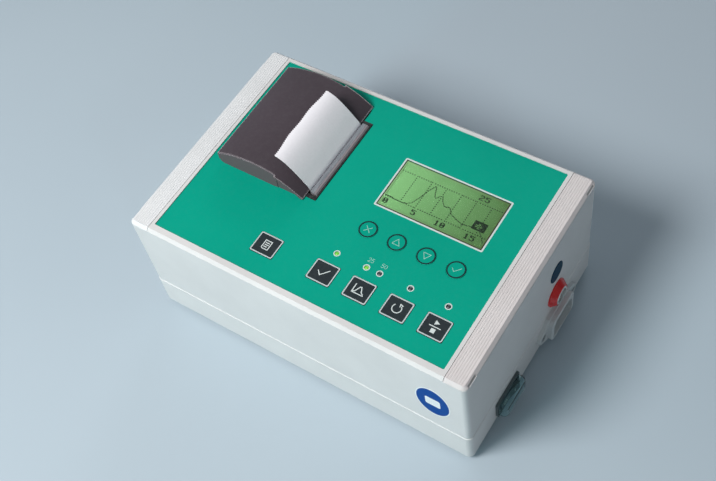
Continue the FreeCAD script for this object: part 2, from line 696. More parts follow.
KEYS = {
    "print_key": (PRINT_KEY_X, SQUARE_ROW_Y, "square"),
    "ready_key": (READY_KEY_X, SQUARE_ROW_Y, "square"),
    "flow_key": (FLOW_KEY_X, SQUARE_ROW_Y, "square"),
    "auto_key": (AUTO_KEY_X, SQUARE_ROW_Y, "square"),
    "start_key": (START_KEY_X, SQUARE_ROW_Y, "square"),
    "escape_key": (ROUND_KEY_XS[0], ROUND_ROW_Y, "round"),
    "up_key": (ROUND_KEY_XS[1], ROUND_ROW_Y, "round"),
    "down_key": (ROUND_KEY_XS[2], ROUND_ROW_Y, "round"),
    "confirm_key": (ROUND_KEY_XS[3], ROUND_ROW_Y, "round"),
}


def key_block(name, grow, z0, z1):
    """A key's outline, grown all round, between two levels."""
    x, y, form = KEYS[name]
    if form == "round":
        return disc(x, y, z0, z1, ROUND_KEY_RADIUS + grow)
    half_x = SQUARE_KEY_X / 2 + grow
    half_y = SQUARE_KEY_Y / 2 + grow
    return rounded(x - half_x, x + half_x, y - half_y, y + half_y, z0, z1,
                   KEY_CORNER + max(grow, 0))


def key(name):
    """A cap that stands in its window, a flange that the foil holds down, and a stem."""
    x, y, form = KEYS[name]
    cap = key_block(name, 0, KEY_FLANGE_UNDER, KEY_TOP)
    cap = cap.makeChamfer(KEY_CHAMFER, edges_at(cap, 2, KEY_TOP))
    flange = key_block(name, KEY_FLANGE, KEY_FLANGE_UNDER, FLOOR_Z)
    stem = disc(x, y, STEM_END, KEY_FLANGE_UNDER + FIT, KEY_STEM_RADIUS)
    return join([cap, flange, stem])


def front_foil():
    x0, x1, y0, y1 = FOIL_BOX
    foil = rounded(x0, x1, y0, y1, FLOOR_Z, DECK_Z, FOIL_CORNER)
    cuts = [key_block(name, FIT, FLOOR_Z - OVER, DECK_Z + OVER) for name in KEYS]
    cuts += [disc(x, LED_ROW_Y, FLOOR_Z - OVER, DECK_Z + OVER, LED_RADIUS + LED_CLEAR) for x in LED_XS]
    cuts.append(printer_opening(FLOOR_Z - OVER, DECK_Z + OVER))
    cuts.append(display_block(FIT, FLOOR_Z - OVER, DECK_Z + OVER))
    return foil.cut(Part.makeCompound(cuts))


def display_block(grow, z0, z1):
    return block(DISPLAY_X - DISPLAY_LENGTH / 2 - grow, DISPLAY_X + DISPLAY_LENGTH / 2 + grow,
                 DISPLAY_Y - DISPLAY_DEPTH / 2 - grow, DISPLAY_Y + DISPLAY_DEPTH / 2 + grow, z0, z1)


def lcd_block(grow, z0, z1):
    return block(DISPLAY_X - LCD_LENGTH / 2 - grow, DISPLAY_X + LCD_LENGTH / 2 + grow,
                 DISPLAY_Y - LCD_DEPTH / 2 - grow, DISPLAY_Y + LCD_DEPTH / 2 + grow, z0, z1)


def lcd_posts():
    half_x = LCD_LENGTH / 2 + POST_RADIUS
    half_y = LCD_DEPTH / 2 + LCD_POST_GAP
    return [(DISPLAY_X + a * half_x, DISPLAY_Y + b * half_y) for a in (-1, 1) for b in (-1, 1)]


def lcd_window():
    return display_block(0, FLOOR_Z, DECK_Z - SLIP)


def lcd_frame():
    """A folded metal frame with a window, open below."""
    frame = lcd_block(0, LCD_BOARD_TOP, LCD_TOP)
    frame = frame.cut(lcd_block(-LCD_SHEET, LCD_BOARD_TOP - OVER, LCD_TOP - LCD_SHEET))
    return frame.cut(display_block(-DISPLAY_LEDGE, LCD_BOARD_TOP, LCD_TOP + OVER))


def lcd_panel():
    """The display's glass, whose picture area stands up through the metal frame's window."""
    glass = lcd_block(-LCD_SHEET - LCD_PANEL_GAP, LCD_BOARD_TOP, LCD_TOP - LCD_SHEET - SLIP)
    picture = display_block(-DISPLAY_LEDGE - LCD_FACE_GAP, LCD_BOARD_TOP, FLOOR_Z - LCD_FACE_GAP)
    return join([glass, picture])


def lcd_board():
    board = lcd_block(LCD_BOARD_MARGIN, LCD_BOARD_TOP - BOARD_THICK, LCD_BOARD_TOP)
    return board.cut(Part.makeCompound([disc(x, y, 0, CASE_HEIGHT, BOARD_HOLE_RADIUS)
                                        for x, y in lcd_posts()]))


def keypad_board():
    """An L-shaped board that keeps clear of the printer."""
    under = KEYPAD_TOP - BOARD_THICK
    board = join([block(KEYPAD_LEFT, KEYPAD_RIGHT, KEYPAD_FRONT, KEYPAD_STEP_Y, under, KEYPAD_TOP),
                  block(KEYPAD_STEP_X, KEYPAD_RIGHT, KEYPAD_FRONT, KEYPAD_BACK, under, KEYPAD_TOP)])
    return board.cut(Part.makeCompound([disc(x, y, 0, CASE_HEIGHT, BOARD_HOLE_RADIUS)
                                        for x, y in KEYPAD_POSTS]))


def tact_switches():
    """Nine small push switches on the keypad board, one under each key's stem."""
    switches = []
    half = SWITCH_BODY / 2
    body_top = KEYPAD_TOP + SWITCH_BODY_HEIGHT
    for x, y, form in KEYS.values():
        body = block(x - half, x + half, y - half, y + half, KEYPAD_TOP, body_top)
        plunger = disc(x, y, body_top - FIT, body_top + PLUNGER_HEIGHT, PLUNGER_RADIUS)
        switches.append(join([body, plunger]))
    return Part.makeCompound(switches)


def status_leds():
    """Five round-ended lamps in their holes, each on a spacer."""
    lamps = []
    middle = DECK_Z + LED_PROUD - LED_RADIUS
    for x in LED_XS:
        spacer = disc(x, LED_ROW_Y, KEYPAD_TOP, LID_UNDER - LED_SPACER_GAP, LED_RADIUS + LED_SPACER_WALL)
        body = disc(x, LED_ROW_Y, LID_UNDER - OVER, middle, LED_RADIUS)
        dome = Part.makeSphere(LED_RADIUS, Vector(x, LED_ROW_Y, middle), Vector(0, 0, 1), 0, 90, 360)
        lamps.append(join([spacer, body, dome]))
    return Part.makeCompound(lamps)


# Printer: hood and frame

def deck(height):
    """A level given by its height above the foil."""
    return DECK_Z + height


def hood_arc(x0, x1, inset):
    """Two arcs that meet level at the hood's highest point, from x0 to x1, as outline points."""
    apex = deck(HOOD_HEIGHT)
    rise = HOOD_HEIGHT - HOOD_CORNER
    run = HOOD_APEX_X - HOOD_LEFT
    left_radius = (run ** 2 + rise ** 2) / (2 * rise)
    fall = HOOD_HEIGHT - HOOD_TIP_HEIGHT
    reach = HOOD_TIP - HOOD_APEX_X
    right_radius = (reach ** 2 + fall ** 2) / (2 * fall)

    def point(x):
        radius = left_radius if x < HOOD_APEX_X else right_radius
        arc = radius - inset
        return (x, apex - radius + math.sqrt(arc ** 2 - (x - HOOD_APEX_X) ** 2))
    points = [point(x0)]
    stops = [x for x in (x0, HOOD_APEX_X, x1) if x0 <= x <= x1]
    for start, end in zip(stops, stops[1:]):
        if end - start > 1e-6:
            points.append((point((start + end) / 2), point(end)))
    return points


def hood_outline(inset, floor):
    """The hood's section: a rounded lower left corner about the hinge, a straight left side, and the
    arched top down to the tip."""
    centre = (PIVOT_X, deck(PIVOT_HEIGHT))
    radius = PIVOT_HEIGHT - HOOD_LIFT - inset
    left = HOOD_LEFT + inset
    bend = [(centre[0], centre[1] - radius),
            (on_arc(centre, radius, LOWER_LEFT), (left, centre[1]))]
    top = hood_arc(left, HOOD_TIP - inset, inset)
    right = [(HOOD_TIP - inset, floor), (PIVOT_X, floor)]
    if abs(floor - bend[0][1]) < 1e-6:
        right = right[:1]
    return bend + top + right


def nose_skin():
    """The front of the hood's top skin, which overhangs its side walls a little."""
    top = hood_arc(NOSE_START, HOOD_TIP, 0)
    bottom = hood_arc(NOSE_START, HOOD_TIP, HOOD_WALL)
    last = bottom[-1][1]
    down = [last, (bottom[-1][0], bottom[0])]
    skin = extruded(top + down, HOOD_FRONT - NOSE_OVERHANG, HOOD_BACK + NOSE_OVERHANG)
    return skin.cut(block(0, CASE_LENGTH, 0, CASE_DEPTH, 0, deck(FLANGE_THICK + NOSE_LIFT)))


def lug_ranges():
    """Where the two hinge lugs stand along the hinge line."""
    first = HOOD_FRONT + LUG_INSET
    last = HOOD_BACK - LUG_INSET
    return [(first, first + LUG_WIDTH), (last - LUG_WIDTH, last)]


def knuckle_ranges():
    (a0, a1), (b0, b1) = lug_ranges()
    return [(a1 + LUG_GAP, a1 + LUG_GAP + KNUCKLE_WIDTH), (b0 - LUG_GAP - KNUCKLE_WIDTH, b0 - LUG_GAP)]


def printer_cover():
    """The bulged hood: a thin moulding, open below, with knuckles on its hinge pin."""
    low = deck(HOOD_LIFT)
    body = extruded(hood_outline(0, low), HOOD_FRONT, HOOD_BACK)
    rim = [e for level in (HOOD_FRONT, HOOD_BACK) for e in edges_at(body, 1, level)
           if e.BoundBox.ZMax > deck(HOOD_CORNER) + FIT and e.Curve.TypeId == "Part::GeomCircle"]
    body = body.makeFillet(HOOD_EDGE, rim)
    hollow = extruded(hood_outline(HOOD_WALL, low - OVER), HOOD_FRONT + HOOD_SIDE_WALL,
                      HOOD_BACK - HOOD_SIDE_WALL)
    body = body.cut(hollow)
    front, back = HOOD_FRONT, HOOD_BACK
    reliefs = []
    for outer, inner in ((front - OVER, front + NOSE_INSET), (back - NOSE_INSET, back + OVER)):
        reliefs.append(block(NOSE_START, HOOD_TIP + OVER, outer, inner, 0, deck(HOOD_HEIGHT)))
    body = body.cut(Part.makeCompound(reliefs))
    body = body.cut(block(NOSE_START + OVER, HOOD_TIP + OVER, HOOD_FRONT + HOOD_SIDE_WALL,
                          HOOD_BACK - HOOD_SIDE_WALL, 0, deck(FLANGE_THICK + NOSE_LIFT)))
    knuckles = [extruded(hood_outline(0, low), y0, y1).common(
        rod_y(PIVOT_X, deck(PIVOT_HEIGHT), y0, y1, PIVOT_HEIGHT - HOOD_LIFT))
        for y0, y1 in knuckle_ranges()]
    body = join([body, nose_skin()] + knuckles)
    slots = [block(HOOD_LEFT - OVER, PIVOT_X + PIVOT_HEIGHT, y0 - LUG_GAP, y1 + LUG_GAP, 0,
                   deck(PIVOT_HEIGHT + LUG_RADIUS + LUG_GAP)).common(
        rod_y(PIVOT_X, deck(PIVOT_HEIGHT), y0 - LUG_GAP, y1 + LUG_GAP, PIVOT_HEIGHT + LUG_GAP))
        for y0, y1 in lug_ranges()]
    bore = rod_y(PIVOT_X, deck(PIVOT_HEIGHT), HOOD_FRONT + HOOD_SIDE_WALL, HOOD_BACK - HOOD_SIDE_WALL,
                 PIN_RADIUS + SLIP)
    return body.cut(Part.makeCompound(slots + [bore]))


def cover_hinge_pin():
    (first, _), (_, last) = lug_ranges()
    return rod_y(PIVOT_X, deck(PIVOT_HEIGHT), first + PIN_INSET, last - PIN_INSET, PIN_RADIUS)


def printer_opening(z0, z1):
    """The hole in foil and lid that the printer's frame drops into: the bay, and the slot beside it."""
    gap = FRAME_GAP
    bay = block(FRAME_LEFT - gap, GEAR_BAY_RIGHT + gap, FRAME_FRONT - gap, GEAR_BAY_BACK + gap, z0, z1)
    slot = block(GEAR_BAY_RIGHT, FRAME_RIGHT + gap, FRAME_FRONT - gap, FRAME_BACK + gap, z0, z1)
    return join([bay, slot])


def web_angle():
    """Where the paper leaves the roll to pass under the platen, seen from either one's centre."""
    across = PLATEN_CENTRE[0] - ROLL_CENTRE[0]
    up = PLATEN_CENTRE[1] - ROLL_CENTRE[1]
    lean = math.degrees(math.atan2(up, across))
    return lean - math.degrees(math.acos((ROLL_RADIUS - PLATEN_RADIUS) / math.hypot(across, up)))


def cradle_outline(inset, top):
    """The frame's section: a trough round the paper roll, a ramp beside the paper's way up, and the
    mechanism's floor."""
    radius = ROLL_RADIUS + CRADLE_GAP + FRAME_WALL - inset
    floor = deck(-MECHANISM_DROP) + inset
    right = FRAME_RIGHT - (SLOT_WALL if inset else 0)
    leave = on_arc(ROLL_CENTRE, radius, web_angle())
    slope = math.tan(math.radians(web_angle() + 90.0))
    left = ROLL_CENTRE[0] - radius
    return [(left, top), (left, ROLL_CENTRE[1]),
            (on_arc(ROLL_CENTRE, radius, LOWER_LEFT), leave),
            (leave[0] + (floor - leave[1]) / slope, floor), (right, floor), (right, top)]


def printer_frame():
    """The black chassis: trough, mechanism bay, gear bay, flange on the foil and hinge lugs."""
    top = deck(FLANGE_THICK)
    body = extruded(cradle_outline(0, top), FRAME_FRONT, FRAME_BACK)
    body = body.cut(extruded(cradle_outline(FRAME_WALL, top + OVER), BAY_FRONT, BAY_BACK))
    gear_wall = block(GEAR_BAY_RIGHT - GEAR_BAY_LENGTH, GEAR_BAY_RIGHT, GEAR_BAY_BACK - FRAME_WALL,
                      GEAR_BAY_BACK, deck(-GEAR_WALL_DROP), top)
    flange = block(FRAME_LEFT - FLANGE_LEFT, GEAR_BAY_RIGHT, FRAME_FRONT - FLANGE_FRONT,
                   GEAR_BAY_BACK + FLANGE_BACK, DECK_Z, top)
    slot_flange = block(GEAR_BAY_RIGHT, FRAME_RIGHT, FRAME_FRONT - FLANGE_FRONT,
                        FRAME_BACK + FLANGE_BACK, DECK_Z, top)
    gear_roof = block(FRAME_LEFT, GEAR_BAY_RIGHT, FRAME_BACK - FIT, GEAR_BAY_BACK,
                      deck(-FRAME_ROOF), top)
    plate = block(FRAME_RIGHT - PLATE_WIDTH, FRAME_RIGHT, BAY_BACK, FRAME_BACK, deck(-PLATE_DROP),
                  DECK_Z)
    lugs = [hinge_lug(y0, y1) for y0, y1 in lug_ranges()]
    body = join([body, gear_wall, flange, slot_flange, gear_roof, plate] + lugs)
    mouth = block(FRAME_LEFT + FRAME_WALL, FRAME_RIGHT - SLOT_WALL, BAY_FRONT, BAY_BACK,
                  deck(-FRAME_ROOF), top + OVER)
    mouth = mouth.cut(Part.makeCompound(lugs))
    platen = rod_y(PLATEN_X, deck(-PLATEN_DROP), BAY_FRONT - BEARING_DEPTH, FRAME_BACK + OVER,
                   SHAFT_RADIUS + SLIP)
    spindle = [slot_for_spindle(BAY_FRONT - BEARING_DEPTH, BAY_FRONT + OVER),
               slot_for_spindle(BAY_BACK - OVER, BAY_BACK + BEARING_DEPTH)]
    x, z = PINION_CENTRE
    shaft = rod_y(x, z, BAY_BACK - OVER, FRAME_BACK + OVER, SHAFT_RADIUS + STEM_CLEAR)
    body = body.cut(Part.makeCompound([mouth, platen, shaft] + spindle))
    x, z = IDLER_CENTRE
    axle = rod_y(x, z, FRAME_BACK - FIT, FRAME_BACK + GEAR_CLEARANCE + GEAR_WIDTH + SHAFT_END,
                 SHAFT_RADIUS)
    return join([body, axle])


def hinge_lug(y0, y1):
    """A lug that leans over from the flange and ends round the hinge pin."""
    centre = (PIVOT_X, deck(PIVOT_HEIGHT))
    foot = FRAME_LEFT - FLANGE_LEFT
    web = extruded([(foot, deck(FLANGE_THICK / 2)), on_arc(centre, LUG_RADIUS, LOWER_LEFT),
                    (on_arc(centre, LUG_RADIUS, UPPER_LEFT), on_arc(centre, LUG_RADIUS, UPPER_RIGHT)),
                    (foot + LUG_FOOT, deck(FLANGE_THICK / 2))], y0, y1)
    bore = rod_y(centre[0], centre[1], y0 - OVER, y1 + OVER, PIN_RADIUS + HAIR)
    return web.cut(bore)


def slot_for_spindle(y0, y1):
    """A round-bottomed slot, open above, that a spindle's end drops into."""
    radius = SPINDLE_END_RADIUS + SLIP
    x, z = ROLL_CENTRE
    return join([rod_y(x, z, y0, y1, radius), block(x - radius, x + radius, y0, y1, z, deck(OVER))])


# Printer: paper, platen, gears, motor, head and tear bar

def gear_centre(start, bearing, teeth_a, teeth_b):
    """The centre of a gear in mesh with one at start, in a direction in degrees."""
    return on_arc(start, GEAR_MODULE * (teeth_a + teeth_b) / 2, bearing)


ROLL_CENTRE = (FRAME_LEFT + FRAME_WALL + CRADLE_GAP + ROLL_RADIUS, deck(-ROLL_DROP))
PLATEN_CENTRE = (PLATEN_X, deck(-PLATEN_DROP))
IDLER_CENTRE = gear_centre(PLATEN_CENTRE, IDLER_BEARING, PLATEN_TEETH, IDLER_TEETH)
PINION_CENTRE = gear_centre(IDLER_CENTRE, PINION_BEARING, IDLER_TEETH, PINION_TEETH)


def meshed_phase(phase, bearing, teeth_a, teeth_b):
    """The angle of a tooth of gear b that fits gear a, whose tooth stands at phase."""
    pitch_a = 360.0 / teeth_a
    pitch_b = 360.0 / teeth_b
    share = ((bearing - phase) / pitch_a) % 1.0
    return bearing + 180.0 + (share + 0.5) * pitch_b


def involute(angle):
    return math.tan(angle) - angle


def gear(teeth, centre, phase, y0, bore):
    """A spur gear along y with involute flanks and a little play, one tooth at the phase angle."""
    pitch_radius = GEAR_MODULE * teeth / 2
    base_radius = pitch_radius * math.cos(math.radians(PRESSURE_ANGLE))
    tip = pitch_radius + GEAR_MODULE * ADDENDUM
    root = pitch_radius - GEAR_MODULE * DEDENDUM
    half = (math.pi * GEAR_MODULE / 2 - GEAR_PLAY) / 2 / pitch_radius
    at_pitch = involute(math.radians(PRESSURE_ANGLE))

    def half_angle(radius):
        if radius <= base_radius:
            return half + at_pitch
        return half + at_pitch - involute(math.acos(base_radius / radius))
    points = []
    for k in range(teeth):
        middle = math.radians(phase) + 2 * math.pi * k / teeth
        for side, radii in ((-1, (root, pitch_radius, tip)), (1, (tip, pitch_radius, root))):
            for radius in radii:
                turn = middle + side * half_angle(radius)
                points.append((centre[0] + radius * math.cos(turn), centre[1] + radius * math.sin(turn)))
    return extruded(points, y0, y0 + GEAR_WIDTH).cut(
        rod_y(centre[0], centre[1], y0 - OVER, y0 + GEAR_WIDTH + OVER, bore))


GEAR_START = FRAME_BACK + GEAR_CLEARANCE
IDLER_PHASE = meshed_phase(0.0, IDLER_BEARING, PLATEN_TEETH, IDLER_TEETH)
PINION_PHASE = meshed_phase(IDLER_PHASE, PINION_BEARING, IDLER_TEETH, PINION_TEETH)


def platen_gear():
    return gear(PLATEN_TEETH, PLATEN_CENTRE, 0.0, GEAR_START, SHAFT_RADIUS + HAIR)


def idler_gear():
    return gear(IDLER_TEETH, IDLER_CENTRE, IDLER_PHASE, GEAR_START, SHAFT_RADIUS + SLIP)


def motor_pinion():
    """The pinion and the motor's shaft, which turn together."""
    x, z = PINION_CENTRE
    wheel = gear(PINION_TEETH, PINION_CENTRE, PINION_PHASE, GEAR_START, MOTOR_SHAFT_RADIUS - FIT)
    shaft = rod_y(x, z, BAY_BACK - MOTOR_SHAFT_TAIL, GEAR_START + GEAR_WIDTH + SHAFT_END,
                  MOTOR_SHAFT_RADIUS)
    return join([wheel, shaft])


def feed_motor():
    x, z = PINION_CENTRE
    face = BAY_BACK - SLIP
    can = rod_y(x, z, BAY_BACK - MOTOR_LENGTH, face, MOTOR_RADIUS)
    ears = block(x - MOTOR_RADIUS - MOTOR_EAR_LEFT, x + MOTOR_RADIUS + MOTOR_EAR_RIGHT,
                 face - MOTOR_EAR_THICK, face, z - MOTOR_EAR_HEIGHT / 2, z + MOTOR_EAR_HEIGHT / 2)
    bore = rod_y(x, z, BAY_BACK - MOTOR_SHAFT_TAIL - BEARING_PLAY, BAY_BACK + OVER,
                 MOTOR_SHAFT_RADIUS + SLIP)
    return join([can, ears]).cut(bore)


def platen_shaft():
    return rod_y(PLATEN_CENTRE[0], PLATEN_CENTRE[1], BAY_FRONT - BEARING_DEPTH + BEARING_PLAY,
                 GEAR_START + GEAR_WIDTH + SHAFT_END, SHAFT_RADIUS)


def platen_roller():
    x, z = PLATEN_CENTRE
    y0, y1 = paper_span()
    return rod_y(x, z, y0 - PLATEN_EXTRA, y1 + PLATEN_EXTRA, PLATEN_RADIUS).cut(
        rod_y(x, z, 0, CASE_DEPTH, SHAFT_RADIUS + HAIR))


def paper_span():
    return BAY_MIDDLE - ROLL_LENGTH / 2, BAY_MIDDLE + ROLL_LENGTH / 2


def paper_roll():
    x, z = ROLL_CENTRE
    return rod_y(x, z, *paper_span(), ROLL_RADIUS).cut(rod_y(x, z, 0, CASE_DEPTH, CORE_RADIUS + HAIR))


def roll_core():
    x, z = ROLL_CENTRE
    return rod_y(x, z, *paper_span(), CORE_RADIUS).cut(rod_y(x, z, 0, CASE_DEPTH, CORE_RADIUS - CORE_WALL))


def roll_spindle():
    x, z = ROLL_CENTRE
    middle = rod_y(x, z, BAY_FRONT + SPINDLE_SIDE, BAY_BACK - SPINDLE_SIDE,
                   CORE_RADIUS - CORE_WALL - SLIP)
    reach = BEARING_DEPTH - BEARING_PLAY
    ends = rod_y(x, z, BAY_FRONT - reach, BAY_BACK + reach, SPINDLE_END_RADIUS)
    return join([middle, ends])


def paper_web():
    """The paper from the roll, under the platen and up to the slot."""
    roll_reach = ROLL_RADIUS + PAPER_GAP
    platen_reach = PLATEN_RADIUS + PAPER_GAP
    touch = web_angle()
    end = deck(-WEB_END)
    inner_end = (PAPER_X, end)
    outer_end = (PAPER_X + PAPER_THICK, end)
    near = on_arc(ROLL_CENTRE, roll_reach, touch)
    near_out = on_arc(ROLL_CENTRE, roll_reach + PAPER_THICK, touch)
    turn_in = on_arc(PLATEN_CENTRE, platen_reach, touch)
    turn_out = on_arc(PLATEN_CENTRE, platen_reach + PAPER_THICK, touch)
    side_in = on_arc(PLATEN_CENTRE, platen_reach, 0)
    side_out = on_arc(PLATEN_CENTRE, platen_reach + PAPER_THICK, 0)
    web = [near, turn_in, (on_arc(PLATEN_CENTRE, platen_reach, touch / 2), side_in), inner_end, outer_end,
           side_out, (on_arc(PLATEN_CENTRE, platen_reach + PAPER_THICK, touch / 2), turn_out), near_out]
    return extruded(web, *paper_span())


def zigzag(root, tip, y0, y1, pitch, bow=0.0, wave=0.0):
    """The points of a saw-toothed edge along y, which starts and ends at a root. Its line may bow out
    by some width and wave a little."""
    steps = 2 * int(round((y1 - y0) / pitch))
    points = []
    for k in range(steps + 1):
        turn = math.pi * k / steps
        bend = bow * math.sin(turn) - wave * math.sin(TORN_WAVES * turn)
        points.append(Vector((tip if k % 2 else root) - bend, y0 + (y1 - y0) * k / steps, 0))
    return points


def paper_strip():
    """The free end of the paper, which curls back over the hood and ends in the blade's teeth."""
    path = ((0.0, -STRIP_START),) + STRIP_PATH
    near = [Vector(PAPER_X - back, 0, deck(height)) for back, height in path]
    front = Part.BSplineCurve()
    front.interpolate(near)
    far = []
    for point in near:
        along = front.tangent(front.parameter(point))[0]
        far.append(point + Vector(along.z, 0, -along.x) * PAPER_THICK)
    back = Part.BSplineCurve()
    back.interpolate(far)
    edges = [front.toShape(), Part.LineSegment(near[-1], far[-1]).toShape(), back.toShape(),
             Part.LineSegment(far[0], near[0]).toShape()]
    y0, y1 = paper_span()
    face = Part.Face(Part.Wire(Part.sortEdges(edges)[0]))
    face.translate(Vector(0, y0, 0))
    strip = face.extrude(Vector(0, y1 - y0, 0))
    end = near[-1].x
    line = end + TORN_BOW + TORN_WAVE
    torn = zigzag(line + TORN_TOOTH, line, y0, y1, BLADE_PITCH, TORN_BOW, TORN_WAVE)
    torn += [Vector(end - OVER, y1, 0), Vector(end - OVER, y0, 0)]
    waste = Part.Face(Part.makePolygon(torn + torn[:1])).extrude(Vector(0, 0, 2 * CASE_HEIGHT))
    return strip.cut(waste)


def thermal_head():
    """The print head: a plate behind the paper, with its heat sink foot on the mechanism's floor."""
    left = PAPER_X + PAPER_THICK + PAPER_GAP
    y0, y1 = paper_span()
    floor = deck(-MECHANISM_DROP) + FRAME_WALL
    plate = block(left, left + HEAD_THICK, y0, y1, floor, deck(-HEAD_TOP_DROP))
    foot = block(left, FRAME_RIGHT - SLOT_WALL - HEAD_GAP, y0, y1, floor, floor + HEAD_THICK)
    return join([plate, foot])


def tear_range():
    return BAY_FRONT + BLADE_SIDE, BAY_BACK - BLADE_SIDE


def blade_holder():
    """The bar that carries the tear blade, with end tabs in the frame's side walls."""
    right = FRAME_RIGHT - SLOT_WALL - HOLDER_GAP
    left = right - HOLDER_WIDTH
    near = left + HOLDER_STEP
    low = deck(-HOLDER_DROP)
    seat = deck(BLADE_HEIGHT - BLADE_THICK)
    top = deck(BLADE_HEIGHT)
    y0, y1 = tear_range()
    ridge = left + BLADE_WIDTH
    bar = extruded([(near, low), (near, seat), (ridge, seat), (ridge + BLADE_GAP, top),
                    (right - HOLDER_BEVEL, top), (right, top - HOLDER_BEVEL), (right, low)], y0, y1)
    tabs = block(near, right, BAY_FRONT + SLIP, BAY_BACK - SLIP, low, deck(-TAB_DROP))
    return join([bar, tabs])


def tear_blade():
    """A steel strip on the bar, whose edge at the paper has fine teeth."""
    left = FRAME_RIGHT - SLOT_WALL - HOLDER_GAP - HOLDER_WIDTH
    y0, y1 = tear_range()
    back = left + BLADE_WIDTH - BLADE_GAP
    edge = zigzag(left + BLADE_TOOTH, left, y0, y1, BLADE_PITCH)
    edge += [Vector(back, y1, 0), Vector(back, y0, 0)]
    face = Part.Face(Part.makePolygon(edge + edge[:1]))
    blade = face.extrude(Vector(0, 0, BLADE_THICK))
    blade.translate(Vector(0, 0, deck(BLADE_HEIGHT - BLADE_THICK)))
    return blade


# Right wall: inlet, switch, socket and plug

def wall_rounded(y, z, length, height, x0, x1, radius):
    """A block with rounded edges that stands on the right wall, centred on y and z; x counts from
    the wall's outer face."""
    return rounded(CASE_LENGTH + x0, CASE_LENGTH + x1, y - length / 2, y + length / 2,
                   z - height / 2, z + height / 2, radius, axis=0)


def inlet_cutout():
    body = wall_rounded(INLET_Y, INLET_Z, INLET_BODY_LENGTH + 2 * FIT, INLET_BODY_HEIGHT + 2 * FIT,
                        -CASE_WALL - OVER, OVER, INLET_BODY_ROUND)
    holes = [rod_x(y, INLET_Z, CASE_LENGTH - CASE_WALL - OVER, CASE_LENGTH + OVER,
                   INLET_SCREW_RADIUS + FIT) for y in inlet_screw_ys()]
    return body.fuse(holes)


def inlet_screw_ys():
    return (INLET_Y - INLET_SCREW_PITCH / 2, INLET_Y + INLET_SCREW_PITCH / 2)


def inlet_flange():
    """A plate whose outline is the hull of a rounded middle and two round ears."""
    ear = INLET_FLANGE_LENGTH / 2 - INLET_EAR_RADIUS
    half = INLET_FLANGE_HEIGHT / 2
    shoulder = INLET_RIM_LENGTH / 2 - INLET_SHOULDER
    run = ear - shoulder
    drop = half - INLET_EAR_RADIUS
    slope = math.atan2(drop, run)
    tangent = math.pi / 2 - slope
    points = []
    for turn in (0, 2):
        side = 1 if turn == 0 else -1
        top = (shoulder * side, half * side)
        touch = (ear * side + INLET_EAR_RADIUS * math.cos(tangent) * side,
                 INLET_EAR_RADIUS * math.sin(tangent) * side)
        tip = ((ear + INLET_EAR_RADIUS) * side, 0)
        low = (touch[0], -touch[1])
        points += [top, touch, (tip, low), (top[0], -top[1])]
    wire = outline(points)
    face = Part.Face(wire)
    face.rotate(Vector(0, 0, 0), Vector(0, 0, 1), 90)
    face.translate(Vector(CASE_LENGTH, INLET_Y, INLET_Z))
    return face.extrude(Vector(INLET_FLANGE_THICK, 0, 0))


def inlet_body():
    """The appliance inlet: flange, raised rim, recess and the block behind the wall."""
    flange = inlet_flange()
    flange = flange.makeFillet(INLET_FLANGE_EDGE, edges_at(flange, 0, CASE_LENGTH + INLET_FLANGE_THICK))
    rim = wall_rounded(INLET_Y, INLET_Z, INLET_RIM_LENGTH, INLET_RIM_HEIGHT, 0, INLET_RIM_RISE,
                       INLET_RIM_ROUND)
    rim = rim.makeFillet(INLET_RIM_EDGE, edges_at(rim, 0, CASE_LENGTH + INLET_RIM_RISE))
    back = wall_rounded(INLET_Y, INLET_Z, INLET_BODY_LENGTH, INLET_BODY_HEIGHT,
                        -INLET_BODY_DEPTH, OVER, INLET_BODY_ROUND)
    body = join([flange, rim, back])
    recess = wall_rounded(INLET_Y, INLET_Z, INLET_RECESS_LENGTH, INLET_RECESS_HEIGHT,
                          INLET_RIM_RISE - INLET_RECESS_DEPTH, INLET_RIM_RISE + OVER,
                          INLET_RECESS_ROUND)
    half = INLET_RECESS_LENGTH / 2
    top = INLET_Z + INLET_RECESS_HEIGHT / 2
    for side in (-1, 1):
        y = INLET_Y + side * half
        keep = Part.Face(Part.makePolygon([
            Vector(CASE_LENGTH - INLET_RECESS_DEPTH, y - side * INLET_RECESS_CUT, top),
            Vector(CASE_LENGTH - INLET_RECESS_DEPTH, y, top),
            Vector(CASE_LENGTH - INLET_RECESS_DEPTH, y, top - INLET_RECESS_CUT),
            Vector(CASE_LENGTH - INLET_RECESS_DEPTH, y - side * INLET_RECESS_CUT, top)]))
        recess = recess.cut(keep.extrude(Vector(2 * INLET_RECESS_DEPTH, 0, 0)))
    body = body.cut(recess)
    holes = []
    front = CASE_LENGTH + INLET_FLANGE_THICK
    for y in inlet_screw_ys():
        holes.append(rod_x(y, INLET_Z, CASE_LENGTH - OVER, front + OVER, INLET_SCREW_RADIUS + FIT))
        holes.append(rod_x(y, INLET_Z, front - INLET_HEAD_HEIGHT, front + OVER, INLET_HEAD_RADIUS + FIT))
    holes += [pin_block(y, z, SLIP) for y, z in inlet_pin_places()]
    return body.cut(Part.makeCompound(holes))


def inlet_pin_places():
    """Earth in the middle, and live and neutral a little lower on either side."""
    return [(INLET_Y, INLET_Z + PIN_OFFSET), (INLET_Y - PIN_SPREAD, INLET_Z - PIN_OFFSET),
            (INLET_Y + PIN_SPREAD, INLET_Z - PIN_OFFSET)]


def pin_block(y, z, grow):
    base = CASE_LENGTH + INLET_RIM_RISE - INLET_RECESS_DEPTH
    back = CASE_LENGTH - INLET_BODY_DEPTH - PIN_TAIL
    return block(back, base + PIN_LENGTH, y - PIN_THICK / 2 - grow, y + PIN_THICK / 2 + grow,
                 z - PIN_BREADTH / 2 - grow, z + PIN_BREADTH / 2 + grow)


def inlet_pins():
    return Part.makeCompound([pin_block(y, z, 0) for y, z in inlet_pin_places()])


